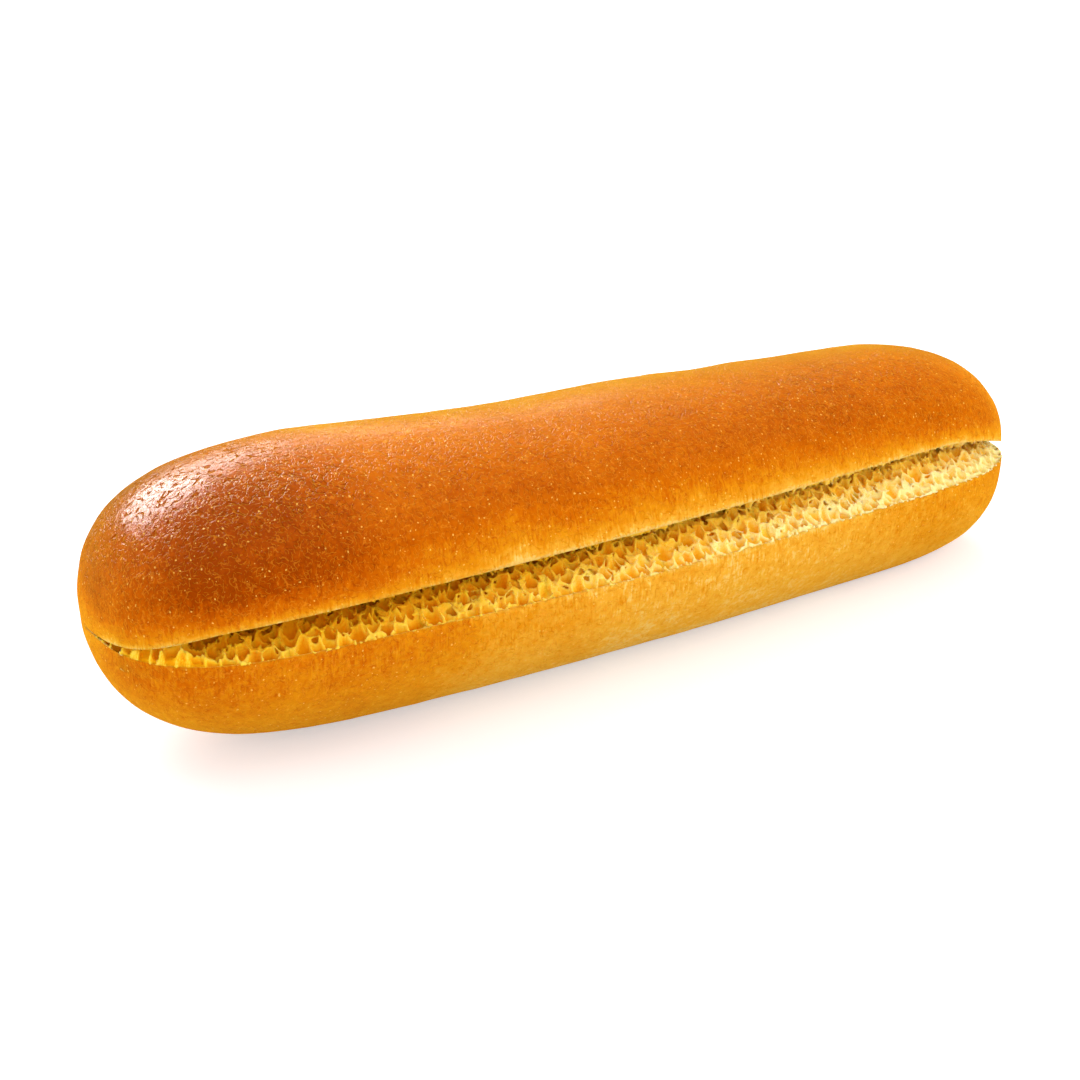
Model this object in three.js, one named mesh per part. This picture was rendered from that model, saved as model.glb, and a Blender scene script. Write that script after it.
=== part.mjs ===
import * as THREE from "three";
import { mergeVertices } from "three/addons/utils/BufferGeometryUtils.js";

// A brioche hot dog roll, cut along its front long side and through both ends, and left joined along its back.
// Millimetres, +Z up. The roll lies along X, its cut opens towards -Y, and the origin is under its middle, on the base.
// One solid: a crust skin worked out section by section, and the two crumb faces of the opened cut.
// The roll is drawn shut first, then everything above the cut is turned up about the uncut back.

// Driving dimensions. Where an end has its own value, the order is [left end, right end].
const length = 160;
const width = 48.4; // at the cut, across the middle
const crownHeight = 19.7; // top above the cut
const baseDepth = 19.7; // underside below the cut, before the flat base takes off what is under it
const cutHeight = { middle: 18.3, slope: -2.4, endRise: 0.3 }; // above the base, sloping along the roll
const bow = 0.2; // how far both ends lie off the straight line, across the roll

// How blunt the ends are: radius = (1 - |x|^power)^(1 / round), with x from -1 to 1 along the roll.
const endOf = {
  plan: { power: [7.5, 7.6], round: 2.56 },
  crown: { power: [7.5, 8.8], round: 2.21 },
  base: { power: [6.0, 11.3], round: 2.41 },
};
// How much taller and wider the roll gets from its middle to its ends, as a share.
const swell = { crown: [0.145, -0.097], plan: [-0.074, -0.093], reach: 0.72 };

// Section outline: across = cos^(2 / side), up = sin^(2 / top), for the half above and the half below the cut.
const section = { upper: { side: 2.07, top: 2.2 }, lower: { side: 1.8, top: 2.22 }, bulge: 0.061 };

// The opening in degrees: its angle in the middle, how it grows to the right, and where the uncut back begins.
const opening = { angle: 13.4, slope: 2.9, hingeY: 5.2 };
// It closes towards each end, over a share of half the length, to the least share of that angle.
const closing = [{ over: 0.17, least: 0.44 }, { over: 0.32, least: 0.23 }];

// The crumb faces rise towards each other, by shares of the gap between them, over a distance from the lip.
const crumb = {
  lower: { mound: 0.48, ragged: 0.15 },
  upper: { mound: 0.12, ragged: 0.08 },
  riseOver: 8.5,
  deepest: 0.12, // share of the depth, next to the hinge, over which the faces come back together
};

// Mesh steps.
const steps = { along: 100, overCrown: 16, underBase: 16, crumbDepth: 9 };
const crustColour = 0xc8690f;

const degree = Math.PI / 180;

function clamp(value, low, high) {
  return Math.min(Math.max(value, low), high);
}

function smooth(t) {
  const s = clamp(t, 0, 1);
  return s * s * (3 - 2 * s);
}

function side(x) {
  return x < 0 ? 0 : 1;
}

function endRadius(x, end) {
  const fall = 1 - Math.pow(Math.abs(x), end.power[side(x)]);
  return Math.pow(Math.max(fall, 0), 1 / end.round);
}

// The plain sizes of the section at x, from -1 to 1.
function sectionAt(x) {
  const ring = (1 - Math.cos(Math.PI * clamp(Math.abs(x) / swell.reach, 0, 1))) / 2;
  return {
    halfWidth: (width / 2) * endRadius(x, endOf.plan) * (1 + swell.plan[side(x)] * ring),
    crown: crownHeight * endRadius(x, endOf.crown) * (1 + swell.crown[side(x)] * ring),
    base: baseDepth * endRadius(x, endOf.base),
    middleY: bow * x * x,
    cutZ: cutHeight.middle + cutHeight.slope * x + cutHeight.endRise * x * x,
  };
}

// How far the cut is open at x, as an angle.
function openAngle(x) {
  const angle = opening.angle + opening.slope * x;
  const fromEnd = [1 + x, 1 - x];
  const shares = closing.map((end, i) => {
    const t = clamp(fromEnd[i] / end.over, 0, 1);
    return end.least + (1 - end.least) * t * (2 - t);
  });
  return angle * shares[0] * shares[1] * degree;
}

// A point of the shut crust: turn goes from 0 at the front of the cut over the crown to PI at the back,
// and on under the base to 2 PI.
function crustPoint(x, turn, isUpper) {
  const at = sectionAt(x);
  const outline = isUpper ? section.upper : section.lower;
  const c = Math.cos(turn);
  const s = Math.sin(turn);
  const frontOrBack = Math.sign(c);
  const across = frontOrBack * Math.pow(Math.abs(c), 2 / outline.side);
  const up = Math.pow(Math.abs(s), 2 / outline.top);
  const bulge = isUpper ? section.bulge * Math.abs(Math.sin(2 * turn)) * frontOrBack : 0;
  const y = at.middleY - at.halfWidth * (across + bulge);
  const z = isUpper ? at.cutZ + at.crown * up : Math.max(at.cutZ - at.base * up, 0);
  return { y, z };
}

// Turns a point of the shut roll up about the hinge line. All that is above the cut turns by the whole angle,
// and behind the hinge the turn fades out, so that the uncut back bends as one piece.
function opened(x, y, z, isUpper) {
  const at = sectionAt(x);
  const forward = opening.hingeY - y;
  const up = z - at.cutZ;
  const reach = Math.hypot(forward, up);
  let around = Math.atan2(up, forward);
  if (isUpper) {
    around = Math.max(around, 0);
  } else if (around <= 0) {
    around += 2 * Math.PI;
  }
  const turned = around + openAngle(x) * (1 - smooth((around - Math.PI / 2) / Math.PI));
  const newY = opening.hingeY - reach * Math.cos(turned);
  const newZ = at.cutZ + reach * Math.sin(turned);
  return [(x * length) / 2, newY, newZ];
}

// A repeatable value from -1 to 1 for each mesh point of a crumb face.
function ragged(i, j, face) {
  const n = Math.sin(i * 127.1 + j * 311.7 + face * 74.7) * 43758.5453;
  return 2 * (n - Math.floor(n)) - 1;
}

// A point of an opened crumb face: depth goes from 0 at the front lip to 1 at the hinge, or at the back lip
// where the cut runs right through the end.
function crumbPoint(x, depth, isUpper, i, j) {
  const at = sectionAt(x);
  const front = crustPoint(x, 0, isUpper).y;
  const back = crustPoint(x, Math.PI, isUpper).y;
  const inner = Math.min(back, opening.hingeY);
  const y = front + (inner - front) * depth;
  const flat = opened(x, y, at.cutZ, isUpper);
  if (depth === 0 || depth === 1 || inner === front) {
    return flat;
  }
  const face = isUpper ? crumb.upper : crumb.lower;
  const angle = openAngle(x);
  const gap = (opening.hingeY - y) * Math.sin(angle);
  const fromTip = (1 - Math.abs(x)) * (length / 2);
  const rise = smooth((y - front) / crumb.riseOver) * smooth(fromTip / crumb.riseOver);
  const fade = smooth((1 - depth) / crumb.deepest) * rise;
  const height = gap * fade * (face.mound + face.ragged * ragged(i, j, isUpper ? 1 : 0));
  if (isUpper) {
    return [flat[0], flat[1] - height * Math.sin(angle), flat[2] - height * Math.cos(angle)];
  }
  return [flat[0], flat[1], flat[2] + height];
}

// Places along the roll, evenly spaced along its outline in plan, so that the blunt ends get their share.
function placesAlong(count) {
  const samples = 4000;
  const xs = [];
  const run = [];
  let before = null;
  for (let k = 0; k <= samples; k += 1) {
    const x = -Math.cos((Math.PI * k) / samples);
    const point = [(x * length) / 2, sectionAt(x).halfWidth];
    const step = before ? Math.hypot(point[0] - before[0], point[1] - before[1]) : 0;
    run.push(before ? run[k - 1] + step : 0);
    xs.push(x);
    before = point;
  }
  const places = [];
  let k = 0;
  for (let i = 0; i <= count; i += 1) {
    const goal = (run[samples] * i) / count;
    while (k < samples - 1 && run[k + 1] < goal) {
      k += 1;
    }
    const t = (goal - run[k]) / (run[k + 1] - run[k]);
    places.push(xs[k] + (xs[k + 1] - xs[k]) * t);
  }
  places[0] = -1;
  places[count] = 1;
  return places;
}

// Writes a grid of points as triangles. Rows run along the roll, and flip turns the faces over.
function addGrid(corners, rows, flip) {
  for (let i = 0; i + 1 < rows.length; i += 1) {
    for (let j = 0; j + 1 < rows[i].length; j += 1) {
      const [a, b, c, d] = [rows[i][j], rows[i + 1][j], rows[i + 1][j + 1], rows[i][j + 1]];
      addTriangle(corners, a, b, c, flip);
      addTriangle(corners, a, c, d, flip);
    }
  }
}

// Leaves out triangles that have shrunk to a line at the tips.
function addTriangle(corners, a, b, c, flip) {
  const far = (p, q) => Math.hypot(p[0] - q[0], p[1] - q[1], p[2] - q[2]) > 1e-6;
  if (far(a, b) && far(b, c) && far(c, a)) {
    corners.push(...a, ...(flip ? c : b), ...(flip ? b : c));
  }
}

// One half's crust, from lip to lip.
function addCrust(corners, places, isUpper) {
  const count = isUpper ? steps.overCrown : steps.underBase;
  const rows = places.map((x) => {
    const row = [];
    for (let j = 0; j <= count; j += 1) {
      const turn = isUpper ? (Math.PI * j) / count : Math.PI * (2 - j / count);
      const point = crustPoint(x, turn, isUpper);
      row.push(opened(x, point.y, point.z, isUpper));
    }
    return row;
  });
  addGrid(corners, rows, !isUpper);
}

// One crumb face. Where the cut stops running through the end, a triangle closes it behind the hinge.
function addCrumb(corners, places, isUpper) {
  const rows = places.map((x, i) => {
    const row = [];
    for (let j = 0; j <= steps.crumbDepth; j += 1) {
      row.push(crumbPoint(x, j / steps.crumbDepth, isUpper, i, j));
    }
    return row;
  });
  addGrid(corners, rows, isUpper);
  const uncut = places.map((x) => crustPoint(x, Math.PI, isUpper).y > opening.hingeY);
  for (let i = 0; i + 1 < places.length; i += 1) {
    if (uncut[i] !== uncut[i + 1]) {
      const inside = uncut[i] ? i : i + 1;
      const outside = uncut[i] ? i + 1 : i;
      const back = crustPoint(places[inside], Math.PI, isUpper);
      const behind = opened(places[inside], back.y, back.z, isUpper);
      const hinge = rows[inside][steps.crumbDepth];
      const lip = rows[outside][steps.crumbDepth];
      addTriangle(corners, hinge, lip, behind, isUpper === uncut[i]);
    }
  }
}

function makeRoll() {
  const places = placesAlong(steps.along);
  const corners = [];
  for (const isUpper of [true, false]) {
    addCrust(corners, places, isUpper);
    addCrumb(corners, places, isUpper);
  }
  const loose = new THREE.BufferGeometry();
  loose.setAttribute("position", new THREE.Float32BufferAttribute(corners, 3));
  const geometry = mergeVertices(loose, 1e-4);
  geometry.computeBoundingBox();
  const middle = geometry.boundingBox.getCenter(new THREE.Vector3());
  geometry.translate(-middle.x, -middle.y, -geometry.boundingBox.min.z);
  geometry.computeVertexNormals();
  const material = new THREE.MeshStandardMaterial({ color: crustColour, roughness: 0.4, metalness: 0 });
  const mesh = new THREE.Mesh(geometry, material);
  mesh.name = "roll";
  return mesh;
}

const bun = new THREE.Group();
bun.add(makeRoll());

export default bun;
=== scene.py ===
import math

import bmesh
import bpy
import numpy as np
from mathutils import Matrix, Vector


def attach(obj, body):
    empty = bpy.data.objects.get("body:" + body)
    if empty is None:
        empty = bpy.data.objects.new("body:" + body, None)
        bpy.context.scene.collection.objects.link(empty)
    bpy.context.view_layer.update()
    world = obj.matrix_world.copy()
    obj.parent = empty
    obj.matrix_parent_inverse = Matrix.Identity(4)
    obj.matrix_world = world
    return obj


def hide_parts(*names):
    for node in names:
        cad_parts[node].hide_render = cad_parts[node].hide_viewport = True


# A brioche hot dog roll, cut open along its front. Lengths in the dictionaries are millimetres.
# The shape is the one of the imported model, worked out again on finer grids, so that relief can go on it.
# Places along the roll go from -1 at the left tip to 1 at the right tip, and pairs of values are for these
# two ends where no note says otherwise.

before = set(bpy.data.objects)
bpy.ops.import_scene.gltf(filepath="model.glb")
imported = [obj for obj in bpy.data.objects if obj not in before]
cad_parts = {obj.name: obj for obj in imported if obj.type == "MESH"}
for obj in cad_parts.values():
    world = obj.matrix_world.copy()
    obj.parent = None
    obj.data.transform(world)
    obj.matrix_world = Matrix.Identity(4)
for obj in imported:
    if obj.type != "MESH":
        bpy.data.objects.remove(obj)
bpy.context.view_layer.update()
mm = 0.001

# The plain form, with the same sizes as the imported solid.
roll = {
    "length": 160.0,
    "width": 48.4,
    "crownHeight": 19.7,  # top above the cut
    "baseDepth": 19.7,  # underside below the cut, before the flat base takes off what is under it
    "cutMiddle": 18.3,  # height of the cut
    "cutSlope": -2.4,
    "cutEndRise": 0.3,
    "bow": 0.2,
    # how blunt the ends are, and how much larger the section gets towards them
    "plan": {"power": (7.5, 7.6), "round": 2.56, "swell": (-0.074, -0.093)},
    "crown": {"power": (7.5, 8.8), "round": 2.21, "swell": (0.145, -0.097)},
    "base": {"power": (6.0, 11.3), "round": 2.41, "swell": (0.0, 0.0)},
    "swellReach": 0.72,
    # the section's outline over and under the cut
    "upper": {"side": 2.07, "top": 2.2, "bulge": 0.061},
    "lower": {"side": 1.8, "top": 2.22, "bulge": 0.0},
    "openAngle": 13.4,  # degrees in the middle
    "openSlope": 2.9,  # degrees more at the right tip
    "hingeY": 5.2,  # where the uncut back begins
    "closingOver": (0.17, 0.32),  # the cut closes over this much of the way to the tip
    "closingLeast": (0.44, 0.23),
}
halfLength = roll["length"] / 2


# Eases from 0 to 1: t held to that range, then 3 t^2 - 2 t^3.
def smooth(t):
    s = np.clip(t, 0, 1)
    return s * s * (3 - 2 * s)


# Eases from 0 to 1 while a value goes from start over a distance.
def easeFrom(value, start, over):
    return smooth((value - start) / over)


# From low at t = 0 in a straight line to high at t = 1.
def blend(low, high, t):
    return low + (high - low) * t


# The value of a pair at x: the first left of the middle, the second right of it.
def ofSide(x, pair):
    return np.where(x < 0, pair[0], pair[1])


# Radius of the form's end at x: (1 - |x|^power)^(1 / round), times 1 + swell by a half cosine wave.
def endRadius(x, end):
    ring = (1 - np.cos(np.pi * np.clip(np.abs(x) / roll["swellReach"], 0, 1))) / 2
    fall = np.maximum(1 - np.abs(x) ** ofSide(x, end["power"]), 0)
    return fall ** (1 / end["round"]) * (1 + ofSide(x, end["swell"]) * ring)


# The section's sizes at x: half width, crown, base, middle line and height of the cut.
def sectionAt(x):
    return (
        roll["width"] / 2 * endRadius(x, roll["plan"]),
        roll["crownHeight"] * endRadius(x, roll["crown"]),
        roll["baseDepth"] * endRadius(x, roll["base"]),
        roll["bow"] * x * x,
        roll["cutMiddle"] + roll["cutSlope"] * x + roll["cutEndRise"] * x * x,
    )


# The opening angle: a straight slope along the roll, times least + (1 - least) t (2 - t) for each end.
def openAngle(x):
    angle = roll["openAngle"] + roll["openSlope"] * x
    for fromEnd, over, least in zip((1 + x, 1 - x), roll["closingOver"], roll["closingLeast"]):
        t = np.clip(fromEnd / over, 0, 1)
        angle = angle * (least + (1 - least) * t * (2 - t))
    return np.radians(angle)


# A point of the shut outline: across = cos^(2 / side), up = sin^(2 / top), and the crown's flanks bulge.
# Turn goes from 0 at the front lip over the crown to pi at the back, and on under the base.
def outlinePoint(x, turn, isUpper):
    halfWidth, crown, base, middleY, cutZ = sectionAt(x)
    shape = roll["upper"] if isUpper else roll["lower"]
    frontOrBack = np.sign(np.cos(turn))
    across = frontOrBack * np.abs(np.cos(turn)) ** (2 / shape["side"])
    up = np.abs(np.sin(turn)) ** (2 / shape["top"])
    bulge = shape["bulge"] * np.abs(np.sin(2 * turn)) * frontOrBack
    y = middleY - halfWidth * (across + bulge)
    z = cutZ + crown * up if isUpper else np.maximum(cutZ - base * up, 0)
    return y, z


# How far y the front lip and the back lip lie at x, on the height of the cut.
def lipsAt(x, isUpper):
    return [outlinePoint(x, np.float64(turn), isUpper)[0] for turn in (0, np.pi)]


# Turns points up about the hinge line: by the whole angle above the cut, and fading out behind the hinge.
def opened(x, y, z, isUpper):
    cutZ = sectionAt(x)[4]
    forward = roll["hingeY"] - y
    up = z - cutZ
    reach = np.hypot(forward, up)
    around = np.arctan2(up, forward)
    if isUpper:
        around = np.maximum(around, 0)
    else:
        around = np.where(around <= 0, around + 2 * np.pi, around)
    turned = around + openAngle(x) * (1 - easeFrom(around, np.pi / 2, np.pi))
    newY = roll["hingeY"] - reach * np.cos(turned)
    newZ = cutZ + reach * np.sin(turned)
    return np.stack(np.broadcast_arrays(x * halfLength, newY, newZ), axis=-1)


# Places along the roll, evenly spaced along its outline in plan.
def placesAlong(count):
    x = -np.cos(np.linspace(0, np.pi, 4001))
    halfWidth = sectionAt(x)[0]
    run = np.concatenate([[0], np.cumsum(np.hypot(np.diff(x) * halfLength, np.diff(halfWidth)))])
    places = np.interp(np.linspace(0, run[-1], count + 1), run, x)
    places[0], places[-1] = -1, 1
    return places


# Random values from -1 to 1 on a lattice that repeats.
noiseSize = 32
noiseTable = np.random.default_rng(11).random((noiseSize,) * 3).astype(np.float32) * 2 - 1


# Smooth noise from -1 to 1: the lattice's values at the eight corners round a point, in smooth weights.
def softNoise(points):
    low = np.floor(points).astype(np.int32)
    t = smooth(points - low).astype(np.float32)
    total = 0
    for corner in np.ndindex(2, 2, 2):
        weight = 1
        place = []
        for axis, step in enumerate(corner):
            weight = weight * (t[..., axis] if step else 1 - t[..., axis])
            place.append((low[..., axis] + step) % noiseSize)
        total = total + weight * noiseTable[place[0], place[1], place[2]]
    return total


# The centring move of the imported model: minus the middle of the least and the greatest y of both halves.
def centreShift():
    x = placesAlong(400)[:, None]
    turn = np.linspace(0, np.pi, 181)[None, :]
    reach = []
    for start, isUpper in ((0, True), (np.pi, False)):
        y, z = outlinePoint(x, turn + start, isUpper)
        reach.append(opened(x, y, z, isUpper)[..., 1])
    return -(min(y.min() for y in reach) + max(y.max() for y in reach)) / 2


shiftY = centreShift()


# Puts points in millimetres and faces of three or four corners into a new mesh object, in metres.
def makeObject(name, points, faces, attributes):
    mesh = bpy.data.meshes.new(name)
    faces = np.asarray(faces, dtype=np.int32)
    places = (points + np.array([0, shiftY, 0])) * mm
    mesh.vertices.add(len(points))
    mesh.vertices.foreach_set("co", places.astype(np.float32).ravel())
    mesh.loops.add(faces.size)
    mesh.loops.foreach_set("vertex_index", faces.ravel())
    mesh.polygons.add(len(faces))
    mesh.polygons.foreach_set("loop_start", np.arange(0, faces.size, faces.shape[1], dtype=np.int32))
    for key, values in attributes.items():
        kept = mesh.attributes.new(key, "FLOAT", "POINT")
        kept.data.foreach_set("value", values.astype(np.float32).ravel())
    mesh.update(calc_edges=True)
    piece = bpy.data.objects.new(name, mesh)
    bpy.context.scene.collection.objects.link(piece)
    return piece


# Merges points that lie on each other, such as those of a tip.
def mergePoints(piece):
    work = bmesh.new()
    work.from_mesh(piece.data)
    bmesh.ops.remove_doubles(work, verts=work.verts, dist=1e-7)
    bmesh.ops.dissolve_degenerate(work, edges=work.edges, dist=1e-8)
    work.to_mesh(piece.data)
    work.free()


# The crust is one closed skin round crown and base, with a hollow behind each lip for the crumb.
crust = {
    "stations": 360,
    "crownRows": 128,
    "baseRows": 104,
    "rimShare": 0.014,  # cut edge before the hollow for the crumb, as a share of the cut's depth
    "wallShare": 0.035,  # the hollow's walls lean over this share
    "hollow": 2.6,  # how far the crumb is let into the crust
    "hollowMost": 0.5,  # and the most, as a share of the bread there
    "hollowTip": (0.4, 0.2),  # distance from the tip where the hollow starts, and over which it deepens
    "hollowRows": 8,
    "coreReach": 58.0,  # relief stands off a core line that ends this far from the middle
    "waves": ((9.0, 0.16), (2.6, 0.055)),  # relief: wave length and height
    "wavesOver": 4.0,  # distance from the lip over which the waves set in
    "plainBase": 2.5,  # height over which all relief sets in
    "lipJitter": 0.11,  # raggedness of the lower lip
    "upperJitter": 0.4,  # share of it that the upper lip has
    "jitterOver": 1.2,
    "jitterScale": (1.1, 1.1, 0.3),
    # a pale fold that runs up from the lip, with a groove beside it, in its own widths
    "fold": {
        "x": -25.4,
        "width": 2.2,
        "height": 11.0,
        "lean": 0.08,
        "paler": 0.13,
        "relief": 0.2,
        "grooveAt": 1.7,
        "groove": 0.8,
    },
}

# How well baked the skin is, from 0, bare, to 1, dark, with a painted sheen along the crown's top.
# Curves along the roll give places and values.
baking = {
    # distance from the lip over which the crown darkens, how baked it is at the lip, and at its best
    "fadeOver": ((-1, -0.8, -0.6, -0.35, 0.15, 0.5, 0.7, 1), (7, 6.5, 6.5, 10, 11, 10, 5.5, 5)),
    "atLip": ((-1, -0.8, -0.5, -0.3, 0.1, 1), (0.2, 0.26, 0.24, 0.15, 0.12, 0.17)),
    "best": (
        (-1, -0.85, -0.7, -0.55, -0.3, 0, 0.5, 0.85, 1),
        (0.8, 1.02, 0.94, 0.72, 0.7, 0.71, 0.8, 0.68, 0.4),
    ),
    # the crown's top is painted paler in a band along the roll, a painted sheen of the light from behind
    "topShare": ((-0.9, -0.5, 0.75, 1), (0, 1, 1, 0.3)),
    "topTurn": (101, 21),  # degrees round the crown: where the top's painted sheen lies, and how wide it is
    "topPaintedSheen": 0.4,
    "upperLipPaler": (0.16, 0.9),  # how much, and over what distance from the lip
    "underside": ((-1, -0.5, -0.37, 0, 0.4, 0.7, 1), (0.49, 0.42, 0.24, 0.12, 0.14, 0.31, 0.36)),
    "undersideShare": (1.2, 0.85),  # times this at the lip, and this further down
    "undersideOver": 11,
    "lowerLipPaler": (0.08, 0.5),
    "footPaler": (0.08, 7, 4),  # how much, below what height, and over what height it sets in
    "flatDarker": (0.3, 0.7),  # the flat base, up to this height
    "seam": 0.4,  # where both halves meet at the uncut back
    "crownSeamOver": 11,
    "baseSeamOver": 8,
    "glazeFromLip": (6, 16),  # distance where the glaze starts, and over which it gets full
    "glazeFromSeam": (3, 14),
}


# One half's hollow at each station: across from the front lip to the hinge, or to the back lip at the tips.
# Its depth is the least of a fixed depth and a share of the bread there, and nothing along the rim.
def hollowRows(x, isUpper):
    front, back = lipsAt(x, isUpper)
    inner = np.minimum(back, roll["hingeY"])
    rim = crust["rimShare"]
    wall = crust["wallShare"]
    floor = np.linspace(rim + wall, 1 - wall - rim, crust["hollowRows"])
    share = np.concatenate([[rim], floor, [1 - rim, 1]])[None, :]
    y = front + (inner - front) * share
    _, crown, base, _, cutZ = sectionAt(x)
    room = crown if isUpper else base
    start, over = crust["hollowTip"]
    nearTip = np.clip(((1 - np.abs(x)) * halfLength - start) / over, 0, 1)
    inside = (share > rim) & (share < 1 - rim)
    depth = np.minimum(crust["hollow"], crust["hollowMost"] * room) * inside * nearTip
    flat = opened(x, y, cutZ + 0 * y, isUpper)
    angle = openAngle(x)
    if isUpper:
        flat[..., 1] += depth * np.sin(angle)
        flat[..., 2] += depth * np.cos(angle)
    else:
        flat[..., 2] -= depth
    return flat


# Where skin lies beside the fold: distance from its middle in its own widths, which narrow upwards, and the
# share of its height.
def besideFold(x, fromLip):
    fold = crust["fold"]
    share = np.clip(fromLip / fold["height"], 0, 1)
    return (x - fold["x"] - fold["lean"] * fromLip) / (fold["width"] * (1.1 - share)), share


# Relief of the skin, away from the roll's core line: soft waves, raggedness at the lip, and the fold as one
# bell curve up and one down beside it. None on the base.
def skinRelief(points, fromLip, isUpper):
    x = points[..., 0]
    coreX = np.clip(x, -crust["coreReach"], crust["coreReach"])
    cutZ = sectionAt(x / halfLength)[4]
    away = np.stack([x - coreX, points[..., 1], points[..., 2] - cutZ], axis=-1)
    away /= np.maximum(np.linalg.norm(away, axis=-1, keepdims=True), 1e-6)
    height = 0
    for length, size in crust["waves"]:
        height = height + size * softNoise(points / length + length)
    height = height * smooth(fromLip / crust["wavesOver"])
    near = 1 - smooth(fromLip / crust["jitterOver"])
    jitter = crust["lipJitter"] * (crust["upperJitter"] if isUpper else 1)
    height = height + jitter * near * softNoise(points * np.array(crust["jitterScale"]) + 5.5)
    if isUpper:
        fold = crust["fold"]
        beside, share = besideFold(x, fromLip)
        ridge = np.exp(-beside ** 2) - fold["groove"] * np.exp(-(beside - fold["grooveAt"]) ** 2)
        height = height + fold["relief"] * ridge * smooth(fromLip / 2) * (1 - smooth(share))
    moved = points + away * height[..., None] * smooth(points[..., 2:] / crust["plainBase"])
    moved[..., 2] = np.maximum(moved[..., 2], 0)
    return moved


# Distance over the skin from the front lip: the running sum of the steps round each section.
def runFromLip(points):
    step = np.linalg.norm(np.diff(points, axis=1), axis=2)
    return np.concatenate([np.zeros((len(points), 1)), np.cumsum(step, axis=1)], axis=1)


# The crown's baking: it darkens away from the lip by t (2 - t), and is paler on the fold and at the lip
# itself. Along its top it is painted paler, as a painted sheen of the light from behind.
def crownBake(x, run, turn, fromSeam):
    t = np.clip(run / np.interp(x, *baking["fadeOver"]), 0, 1)
    middle, wide = baking["topTurn"]
    top = np.exp(-0.5 * ((np.degrees(turn) - middle) / wide) ** 2) * np.interp(x, *baking["topShare"])
    bake = blend(np.interp(x, *baking["atLip"]), np.interp(x, *baking["best"]), t * (2 - t))
    # painted sheen along the top
    bake = bake - baking["topPaintedSheen"] * top
    beside, share = besideFold(x * halfLength, run)
    bake = bake - crust["fold"]["paler"] * np.exp(-beside ** 2) * (1 - smooth(1.3 * share - 0.3))
    paler, over = baking["upperLipPaler"]
    bake = bake - paler * (1 - smooth(run / over))
    return blend(baking["seam"], bake, smooth(fromSeam / baking["crownSeamOver"]))


# The underside's baking: a curve along the roll, times a share that falls away from the lip. It is paler at
# the lip and low down, and browner on the flat base.
def undersideBake(x, z, run, fromSeam):
    bake = np.interp(x, *baking["underside"])
    bake = bake * blend(*baking["undersideShare"], smooth(run / baking["undersideOver"]))
    paler, over = baking["lowerLipPaler"]
    bake = bake - paler * (1 - smooth(run / over))
    bake = blend(baking["seam"], bake, smooth(fromSeam / baking["baseSeamOver"]))
    paler, start, over = baking["footPaler"]
    darker, height = baking["flatDarker"]
    return bake - paler * smooth((start - z) / over) + darker * (1 - smooth(z / height))


# Glaze, from 0 to 1: only on the crown, away from the lip and the seam, and half as much at the left tip.
def glazeOf(x, run, fromSeam):
    glaze = easeFrom(run, *baking["glazeFromLip"]) * easeFrom(fromSeam, *baking["glazeFromSeam"])
    return glaze * (0.5 + 0.5 * easeFrom(x, -1, 0.08))


# The crust as one grid, closed round each section: crown, base, lower hollow, upper hollow. Tips are points.
def makeCrust():
    x = placesAlong(crust["stations"])[:, None]
    crownTurn = np.linspace(0, np.pi, crust["crownRows"] + 1)[None, :]
    baseTurn = np.linspace(np.pi, 2 * np.pi, crust["baseRows"] + 1)[None, :]
    over = opened(x, *outlinePoint(x, crownTurn, True), True)
    under = opened(x, *outlinePoint(x, baseTurn, False), False)
    overRun = runFromLip(over)
    underRun = runFromLip(under[:, ::-1])[:, ::-1]
    over = skinRelief(over, overRun, True)
    under = skinRelief(under, underRun, False)
    # Where the cut runs right through, the hollow ends at the back lip, and the halves aren't joined.
    through = lipsAt(x, False)[1] < roll["hingeY"]
    lowerFace = hollowRows(x, False)
    upperFace = hollowRows(x, True)[:, ::-1]
    lowerFace[:, -1] = np.where(through, under[:, 0], lowerFace[:, -1])
    upperFace[:, 0] = np.where(through, over[:, -1], upperFace[:, 0])
    loop = np.concatenate([over, under, lowerFace, upperFace], axis=1)
    rows, columns = loop.shape[:2]
    crown = slice(0, over.shape[1])
    base = slice(over.shape[1], over.shape[1] + under.shape[1])
    run, fromSeam, bake, glaze = np.zeros((4, rows, columns))
    run[:, crown] = overRun
    run[:, base] = underRun
    fromSeam[:, crown] = overRun[:, -1:] - overRun
    fromSeam[:, base] = underRun[:, :1] - underRun
    place = loop[..., 0] / halfLength
    bake[:, crown] = crownBake(place[:, crown], overRun, crownTurn, fromSeam[:, crown])
    bake[:, base] = undersideBake(place[:, base], loop[:, base, 2], underRun, fromSeam[:, base])
    glaze[:, crown] = glazeOf(place[:, crown], overRun, fromSeam[:, crown])
    step = np.linalg.norm(np.diff(loop[:, 0], axis=0), axis=1)
    along = np.concatenate([[0], np.cumsum(step)])[:, None] + np.zeros((rows, columns))
    corner = np.arange(rows * columns).reshape(rows, columns)
    a = corner[:-1]
    b = corner[1:]
    faces = np.stack([a, b, np.roll(b, -1, axis=1), np.roll(a, -1, axis=1)], axis=-1)
    both = through[:-1, 0] & through[1:, 0]
    keep = np.ones(faces.shape[:2], bool)
    keep[both, crust["crownRows"]] = False
    keep[both, base.stop + lowerFace.shape[1] - 1] = False
    attributes = {"bake": bake, "glaze": glaze, "along": along, "fromLip": run}
    piece = makeObject("crust", loop.reshape(-1, 3), faces[keep].reshape(-1, 4), attributes)
    mergePoints(piece)
    piece.data.shade_smooth()
    return piece


crustPiece = makeCrust()
print("crust", len(crustPiece.data.polygons))


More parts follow.
